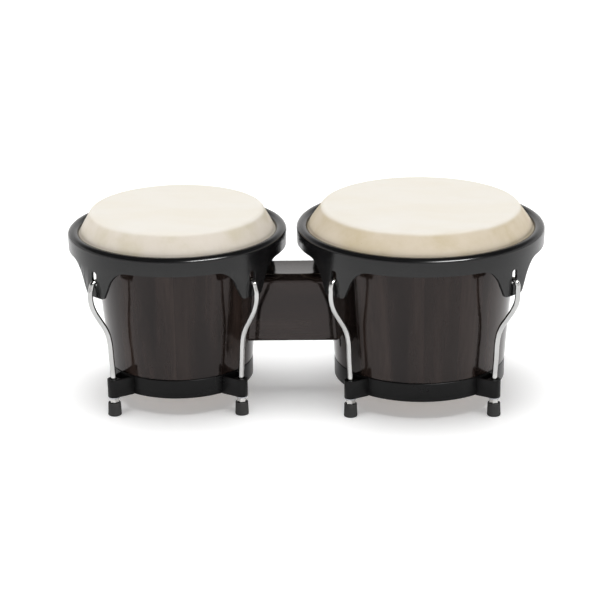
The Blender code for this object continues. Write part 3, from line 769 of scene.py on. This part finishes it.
def rim(drum):
    """The turned skirt, cut back to a band and four ears with holes."""
    top, low = drum.rim_top, drum.rim_foot
    inner, outer = drum.rim_inner, drum.rim_outer
    wall_in = outer - RIM_WALL
    half = (outer - inner) / 2
    crest = arc((inner + half, top - CREST_DROP), (half, CREST_DROP), 160, 0, 22)
    band = top - RIM_BAND
    share = (top - CREST_DROP - band) / (top - CREST_DROP - low)
    outline = [*crest, (outer - RIM_DRAFT * share * 0.85, band + 0.0018),
               (outer - RIM_DRAFT * share, band), (outer - RIM_DRAFT, low),
               (outer - RIM_DRAFT - RIM_WALL, low), (wall_in - RIM_DRAFT * share, band),
               *arc((wall_in - 0.0020, top - RIM_UNDER - 0.0020), 0.0020, 0, 90, 4),
               (inner + 0.0012, top - RIM_UNDER), (inner + 0.0002, top - RIM_UNDER + 0.0010)]
    piece = to_object(lathe(outline), f"{drum.name}_pressed_rim", at_axis(drum))
    ears, holes = bmesh.new(), bmesh.new()
    arch = [(-HOLE_HALF, drum.hook_z - HOLE_BELOW), (HOLE_HALF, drum.hook_z - HOLE_BELOW),
            *arc((0, drum.hook_z + HOLE_ABOVE), HOLE_HALF, 0, 180, 16)]
    for angle in QUARTERS.values():
        place = at_axis(drum, angle) @ ALONG_RADIUS
        plate(ear_outline(drum), outer - 3 * SAW_REACH, outer + 2 * SAW_REACH, place, ears)
        plate(arch, outer - SAW_REACH, outer + SAW_REACH, place, holes)
    waste = [(outer - SAW_REACH, band), (outer + SAW_REACH, band),
             (outer + SAW_REACH, low - 0.004), (outer - SAW_REACH, low - 0.004)]
    skirt = cut(to_object(lathe(waste), "skirt_waste", at_axis(drum)), ears)
    tool = bmesh.new()
    tool.from_mesh(skirt.data)
    bpy.data.objects.remove(skirt, do_unlink=True)
    cut(piece, tool)
    cut(piece, holes)
    break_edges(piece, 0.0005)
    return ready(piece, f"{drum.name}_rim", f"{drum.name}_rim_set", ENAMEL)


for drum in DRUMS:
    rim(drum)

# %% [markdown]
# ## Bottom rings
# A steel band closes the foot of each shell, with a lip that the shell stands on. Four loops
# are welded to it. Each loop is a bent strip, so it is hollow between the band and the rod.
# The loops are joined on, and their pockets and bores are cut through.

# %% Bottom rings
RING_LIP = 0.0060
EAR_TOP_DROP = 0.0008
EAR_RADIUS, EAR_ROOT, EAR_WALL = 0.0060, 0.0100, 0.0020
ROD_CLEARANCE = 0.0007


def bottom_ring(drum):
    """The band with its lip, and four hollow loops at the corners."""
    low, high = drum.ring_z
    outer = drum.shell_narrow + 0.0001
    outline = [(outer - RING_WALL, high - 0.0003), (outer - RING_WALL + 0.0003, high),
               (outer - 0.0004, high), (outer, high - 0.0004), (outer, low + 0.0008),
               (outer - 0.0008, low), (outer - RING_LIP, low),
               (outer - RING_LIP, low + RING_WALL), (outer - RING_WALL, low + RING_WALL)]
    piece = to_object(lathe(outline), f"{drum.name}_foot_band", at_axis(drum))
    rod, root = drum.rod_low, outer - 0.0006
    spread = math.degrees(math.asin((EAR_ROOT - EAR_RADIUS) / (rod - root)))
    loop = [(root, -EAR_ROOT), *arc((rod, 0), EAR_RADIUS, spread - 90, 90 - spread, 20),
            (root, EAR_ROOT)]
    near, far = outer + 0.0004, rod - EAR_RADIUS + 0.0012
    slope = (EAR_ROOT - EAR_RADIUS) / (rod - root)
    wide = EAR_ROOT - EAR_WALL
    narrow = wide - slope * (far - near)
    pocket = [(near, -wide), (far, -narrow), (far, narrow), (near, wide)]
    bore = arc((rod, 0), ROD_RADIUS + ROD_CLEARANCE, 0, 360, 28)[:-1]
    loops, hollows = bmesh.new(), bmesh.new()
    for angle in QUARTERS.values():
        plate(loop, low, high - EAR_TOP_DROP, at_axis(drum, angle), loops)
        for hollow in (pocket, bore):
            plate(hollow, low - 0.002, high + 0.002, at_axis(drum, angle), hollows)
    cut(piece, loops, "UNION")
    cut(piece, hollows)
    break_edges(piece, 0.0004)
    # The ring's enamel carries painted shade: it is darker and mirrors less than the rim's.
    return ready(piece, f"{drum.name}_bottom_ring", "drums", SHADED_RING_ENAMEL)


for drum in DRUMS:
    bottom_ring(drum)

# %% [markdown]
# ## Rods
# A rod is bent cold from round bar: a tight hook in the ear's hole, a bow out round the ear,
# a slant back in along the shell and a straight threaded end. A bevelled curve gives the bent
# part. The thread is a small ridge swept up a helix on a thinner core.

# %% Rods
HOOK_BEND = 0.0055
BOW_DROP = 0.0445            # from the rim's top down to the widest place of the bow
WAIST_STEP = 0.0031          # how far outside the lower stretch the bend's lower end lies
THREAD_PITCH = 0.0008
THREAD_DEPTH = 0.00035
THREAD_STEPS = 16            # per turn


def rod_route(drum):
    """A rod's centre line as (radius, height) points, from the hook's tip to the thread."""
    ear = drum.rim_outer - RIM_DRAFT - RIM_WALL / 2
    bend = drum.hook_z - HOOK_BEND
    bulge, waist = drum.rod_bulge, drum.rod_low + WAIST_STEP
    drop = bulge - waist
    bow = drum.rim_top - BOW_DROP
    return [(ear - HOOK_BEND, bend - 0.003), *arc((ear, bend), HOOK_BEND, 180, 0, 4),
            (bulge - 0.0004, bow + 0.0045), (bulge, bow), (bulge - 0.0008, bow - 0.0070),
            (bulge - 0.18 * drop, bow - 0.0150), (bulge - 0.50 * drop, bow - 0.0260),
            (bulge - 0.84 * drop, bow - 0.0375), (waist, bow - 0.0475),
            (drum.rod_low + 0.0012, 0.0560), (drum.rod_low, 0.0420),
            (drum.rod_low, drum.ring_z[1] - 0.0020)]


def bent_bar(drum):
    """The bent part of a rod as a bmesh, on +X."""
    curve = bpy.data.curves.new("bent_bar", "CURVE")
    curve.dimensions = "3D"
    curve.resolution_u = 8
    curve.bevel_depth = ROD_RADIUS
    curve.bevel_resolution = 5
    curve.use_fill_caps = True
    curve.twist_mode = "MINIMUM"
    spline = curve.splines.new("BEZIER")
    route = rod_route(drum)
    spline.bezier_points.add(len(route) - 1)
    for point, (radius, height) in zip(spline.bezier_points, route):
        point.co = (radius, 0, height)
        point.handle_left_type = point.handle_right_type = "AUTO"
    for point in spline.bezier_points[-2:]:
        point.handle_left_type = point.handle_right_type = "VECTOR"
    obj = bpy.data.objects.new("bent_bar", curve)
    bpy.context.scene.collection.objects.link(obj)
    mesh = bpy.data.meshes.new_from_object(obj.evaluated_get(bpy.context.evaluated_depsgraph_get()))
    bpy.data.objects.remove(obj, do_unlink=True)
    bm = bmesh.new()
    bm.from_mesh(mesh)
    bmesh.ops.remove_doubles(bm, verts=bm.verts, dist=1e-6)
    return bm


def thread(drum):
    """The threaded end: a core with a chamfered tip, and a ridge that climbs round it."""
    low, high = drum.rod_end, drum.ring_z[1] - 0.0015
    core = ROD_RADIUS - THREAD_DEPTH
    bm = lathe([(0, low), (core - 0.0006, low), (core, low + 0.0006), (core, high), (0, high)], 24)
    turns = int((high - low - 0.0024) / THREAD_PITCH)
    ridge = bmesh.new()
    section = [(core - 0.0001, -0.00030), (ROD_RADIUS, 0.0), (core - 0.0001, 0.00030)]
    corners = [ridge.verts.new((r, 0, low + 0.0012 + z)) for r, z in section]
    face = ridge.faces.new(corners)
    steps = turns * THREAD_STEPS
    bmesh.ops.spin(ridge, geom=[face, *face.edges, *face.verts], cent=(0, 0, 0), axis=(0, 0, 1),
                   angle=2 * math.pi * turns, steps=steps, use_duplicate=False,
                   dvec=(0, 0, THREAD_PITCH / THREAD_STEPS))
    bmesh.ops.recalc_face_normals(ridge, faces=ridge.faces)
    spun = bpy.data.meshes.new("thread")
    ridge.to_mesh(spun)
    ridge.free()
    bm.from_mesh(spun)
    bmesh.ops.translate(bm, verts=bm.verts, vec=(drum.rod_low, 0, 0))
    return bm


def rods(drum):
    """Four copies of one bent bar with its threaded end."""
    bar, screw = bent_bar(drum), thread(drum)
    joined = bpy.data.meshes.new("screw")
    screw.to_mesh(joined)
    screw.free()
    bar.from_mesh(joined)
    for place, angle in QUARTERS.items():
        piece = to_object(bar.copy(), f"{drum.name}_bent_rod_{place}", at_axis(drum, angle))
        ready(piece, f"{drum.name}_rod_{place}", f"{drum.name}_rim_set", CHROME)
    bar.free()


for drum in DRUMS:
    rods(drum)

# %% [markdown]
# ## Washers, nuts and feet
# Under each loop sit a turned washer, a hexagon nut with its corners chamfered by a cone, as
# nuts are, and a rubber foot pressed up over the nut. The foot has a rounded tread, a lip at
# its mouth and a shallow moulded groove.

# %% Washers, nuts and feet
WASHER_RADIUS = 0.0054
NUT_FLATS = 0.0080
FOOT_RADIUS = (0.0065, 0.0060)   # at the ground and at the mouth
FOOT_FLOOR = 0.0045


def washer(drum):
    low, high = (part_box(f"{drum.name}_washer_front_right")[i][2] for i in (0, 1))
    bore, edge = ROD_RADIUS + ROD_CLEARANCE, 0.0002
    return lathe([(bore, high - edge), (bore + edge, high), (WASHER_RADIUS - edge, high),
                  (WASHER_RADIUS, high - edge), (WASHER_RADIUS, low + edge),
                  (WASHER_RADIUS - edge, low), (bore + edge, low), (bore, low + edge)], SMALL_ROUND)


def nut(drum):
    low, high = (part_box(f"{drum.name}_nut_front_right")[i][2] for i in (0, 1))
    corner = NUT_FLATS / 2 / math.cos(math.pi / 6)
    flat = NUT_FLATS / 2 - 0.0001
    bore, chamfer = ROD_RADIUS + GAP, 0.0005
    slope = (corner - flat) * math.tan(math.radians(30))
    hexagon = plate(arc((0, 0), corner, 0, 360, 6)[:-1], low, high)
    piece = to_object(hexagon, "nut_blank")
    cone = lathe([(0, low), (flat, low), (corner + 0.0003, low + slope * 1.4),
                  (corner + 0.0003, high - slope * 1.4), (flat, high), (0, high)], 48)
    cut(piece, cone, "INTERSECT")
    drill = lathe([(0, low - 0.001), (bore + chamfer + 0.001, low - 0.001), (bore, low + chamfer),
                   (bore, high - chamfer), (bore + chamfer + 0.001, high + 0.001), (0, high + 0.001)],
                  SMALL_ROUND)
    cut(piece, drill)
    bm = bmesh.new()
    bm.from_mesh(piece.data)
    bpy.data.objects.remove(piece, do_unlink=True)
    return bm


def foot(drum):
    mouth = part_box(f"{drum.name}_foot_front_right")[1][2]
    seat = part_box(f"{drum.name}_nut_front_right")[0][2] - GAP
    wide, narrow = FOOT_RADIUS
    socket = NUT_FLATS / 2 / math.cos(math.pi / 6) + GAP
    bore = ROD_RADIUS + 2 * GAP
    inside = [(0, FOOT_FLOOR), (bore, FOOT_FLOOR), (bore, seat), (socket, seat)]
    lip = arc((narrow - 0.0004, mouth - 0.0004), 0.0004, 90, 0, 4)
    groove = [(narrow + 0.00005, mouth - 0.0018),
              *arc((narrow + 0.0001, mouth - 0.0023), 0.0003, 90, 270, 6),
              (narrow + 0.0001, mouth - 0.0030)]
    tread = [*arc((wide - 0.0011, 0.0011), 0.0011, 10, -80, 6), (wide - 0.0016, 0), (0.0030, 0),
             (0.0026, 0.0006), (0, 0.0006)]
    return lathe([*inside, (socket, mouth - 0.0003), (socket + 0.0003, mouth), *lip, *groove, *tread],
                 SMALL_ROUND)


def at_rod(drum, angle):
    """Carries a piece made about the origin to a rod's lower end."""
    return at_axis(drum, angle) @ Matrix.Translation((drum.rod_low, 0, 0))


for drum in DRUMS:
    blanks = {"washer": (washer(drum), ZINC, "fixing_zinc"),
              "nut": (nut(drum), NUT_CHROME, "nut_chrome"),
              "foot": (foot(drum), RUBBER, "rubber")}
    for place, angle in QUARTERS.items():
        for what, (blank, finish, slot) in blanks.items():
            body = "drums" if what == "washer" else f"{drum.name}_tuner_{place}"
            piece = to_object(blank.copy(), f"{drum.name}_turned_{what}_{place}", at_rod(drum, angle))
            ready(piece, f"{drum.name}_{what}_{place}", body, finish, 30)
    for blank, _, _ in blanks.values():
        blank.free()

# %% [markdown]
# ## The block
# The block is a length of hardwood with its long edges rounded, more at the top than at the
# bottom. Its ends are hollowed to the taper of the two shells. Two cones cut them, each a gap
# wider than its shell, and the bolt holes are drilled from both ends.

# %% Block
BLOCK_TOP_ROUND, BLOCK_BOTTOM_ROUND = 0.0075, 0.0030
BLOCK_REACH = 0.062          # rough length to each side before the ends are cut


def block():
    """The rounded beam between the drums, hollowed at both ends."""
    corner_low, corner_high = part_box("centre_block")
    low, high, half = corner_low[2], corner_high[2], corner_high[1]
    top, bottom = BLOCK_TOP_ROUND, BLOCK_BOTTOM_ROUND
    right = [*arc((half - bottom, low + bottom), bottom, -90, 0, 6),
             *arc((half - top, high - top), top, 0, 90, 12)]
    outline = right + [(-x, z) for x, z in reversed(right)]
    piece = to_object(plate(outline, -BLOCK_REACH, BLOCK_REACH, ALONG_RADIUS), "jointed_block")
    for drum in DRUMS:
        below, above = low - 0.01, high + 0.01
        cone = lathe([(0, above), (shell_radius(drum, above) + GAP, above),
                      (shell_radius(drum, below) + GAP, below), (0, below)])
        bmesh.ops.translate(cone, verts=cone.verts, vec=(drum.x, 0, 0))
        cut(piece, cone)
        cut(piece, bolt_bores(drum, BOLT_BORE))
    break_edges(piece, 0.0005, angle=50)
    return ready(piece, "centre_block", "drums", BLOCK_LACQUER)


block()

# %% [markdown]
# ## Fixings inside the shells
# Inside each shell a curved steel plate spreads the load of two bolts into the block. They are
# seen only from below, and are still made as they are: a bent plate with round corners, turned
# washers, and bolts with a hexagon socket in a domed head.

# %% Backing plates, washers and bolts
PLATE_HALF_ANGLE = math.radians(9)
PLATE_THICKNESS = 0.0020
PLATE_MARGIN = 0.0120
BOLT_WASHER = (0.0065, 0.0012)
BOLT_HEAD = (0.0052, 0.0040)
BOLT_BITE = 0.020
PLATE_CORNER = 0.006


def inner_wall(drum, height):
    return shell_radius(drum, height) - SHELL_WALL - GAP


def backing_plate(drum):
    """A strip bent to the inside of the shell, with its corners rounded."""
    low, high = BOLT_HEIGHTS[0] - PLATE_MARGIN, BOLT_HEIGHTS[1] + PLATE_MARGIN
    bm = bmesh.new()
    section = [(inner_wall(drum, high) - PLATE_THICKNESS, high), (inner_wall(drum, high), high),
               (inner_wall(drum, low), low), (inner_wall(drum, low) - PLATE_THICKNESS, low)]
    face = bm.faces.new([bm.verts.new((r, 0, z)) for r, z in section])
    bmesh.ops.rotate(bm, verts=bm.verts, cent=(0, 0, 0),
                     matrix=Matrix.Rotation(-PLATE_HALF_ANGLE, 3, "Z"))
    bmesh.ops.spin(bm, geom=[face, *face.edges, *face.verts], cent=(0, 0, 0), axis=(0, 0, 1),
                   angle=2 * PLATE_HALF_ANGLE, steps=16)
    bmesh.ops.recalc_face_normals(bm, faces=bm.faces)
    piece = to_object(bm, f"{drum.name}_bent_plate", at_axis(drum, side_of_block(drum)))
    half = inner_wall(drum, low) * math.sin(PLATE_HALF_ANGLE) - 0.0001
    round_corners = arc((half - PLATE_CORNER, high - PLATE_CORNER), PLATE_CORNER, 0, 90, 8)
    right = [(x, low + high - z) for x, z in reversed(round_corners)] + round_corners
    blank = right + [(-x, z) for x, z in reversed(right)]
    cut(piece, plate(blank, 0.03, 0.12, at_axis(drum, side_of_block(drum)) @ ALONG_RADIUS), "INTERSECT")
    cut(piece, bolt_bores(drum, BOLT_BORE))
    break_edges(piece, 0.0003)
    return ready(piece, f"{drum.name}_backing_plate", "drums", ZINC)


def bolt_parts(drum, label, height):
    """One bolt and its washer, turned about the bolt's own axis."""
    low, high = BOLT_HEIGHTS[0] - PLATE_MARGIN, BOLT_HEIGHTS[1] + PLATE_MARGIN
    taper = (shell_radius(drum, high) - shell_radius(drum, low)) / (high - low)
    radius, thick = BOLT_WASHER
    seat = inner_wall(drum, height) - PLATE_THICKNESS - GAP - taper * radius
    bore, edge = BOLT_RADIUS + GAP, 0.0003
    place = at_axis(drum, side_of_block(drum)) @ Matrix.Translation((0, 0, height)) @ SIDEWAYS
    ring = lathe([(bore, seat), (radius - edge, seat), (radius, seat - edge),
                  (radius, seat - thick + edge), (radius - edge, seat - thick), (bore, seat - thick)],
                 SMALL_ROUND)
    piece = to_object(ring, f"{drum.name}_flat_washer_{label}", place)
    ready(piece, f"{drum.name}_bolt_washer_{label}", "drums", ZINC)

    under = seat - thick - GAP
    tip = shell_radius(drum, height) + BOLT_BITE
    head, tall = BOLT_HEAD
    dome = arc((head - 0.0016, under - tall + 0.0016), 0.0016, 0, -90, 6)
    screw = lathe([(0, tip), (BOLT_RADIUS - 0.0008, tip), (BOLT_RADIUS, tip - 0.0008),
                   (BOLT_RADIUS, under), (head - 0.0003, under), (head, under - 0.0003), *dome,
                   (0, under - tall)], SMALL_ROUND)
    piece = to_object(screw, f"{drum.name}_socket_bolt_{label}", place)
    socket = plate(arc((0, 0), 0.0023, 0, 360, 6)[:-1], under - tall - 0.001, under - tall + 0.0024, place)
    cut(piece, socket)
    ready(piece, f"{drum.name}_block_bolt_{label}", "drums", ZINC)


for drum in DRUMS:
    backing_plate(drum)
    for label, height in zip(("lower", "upper"), BOLT_HEIGHTS):
        bolt_parts(drum, label, height)

# %% [markdown]
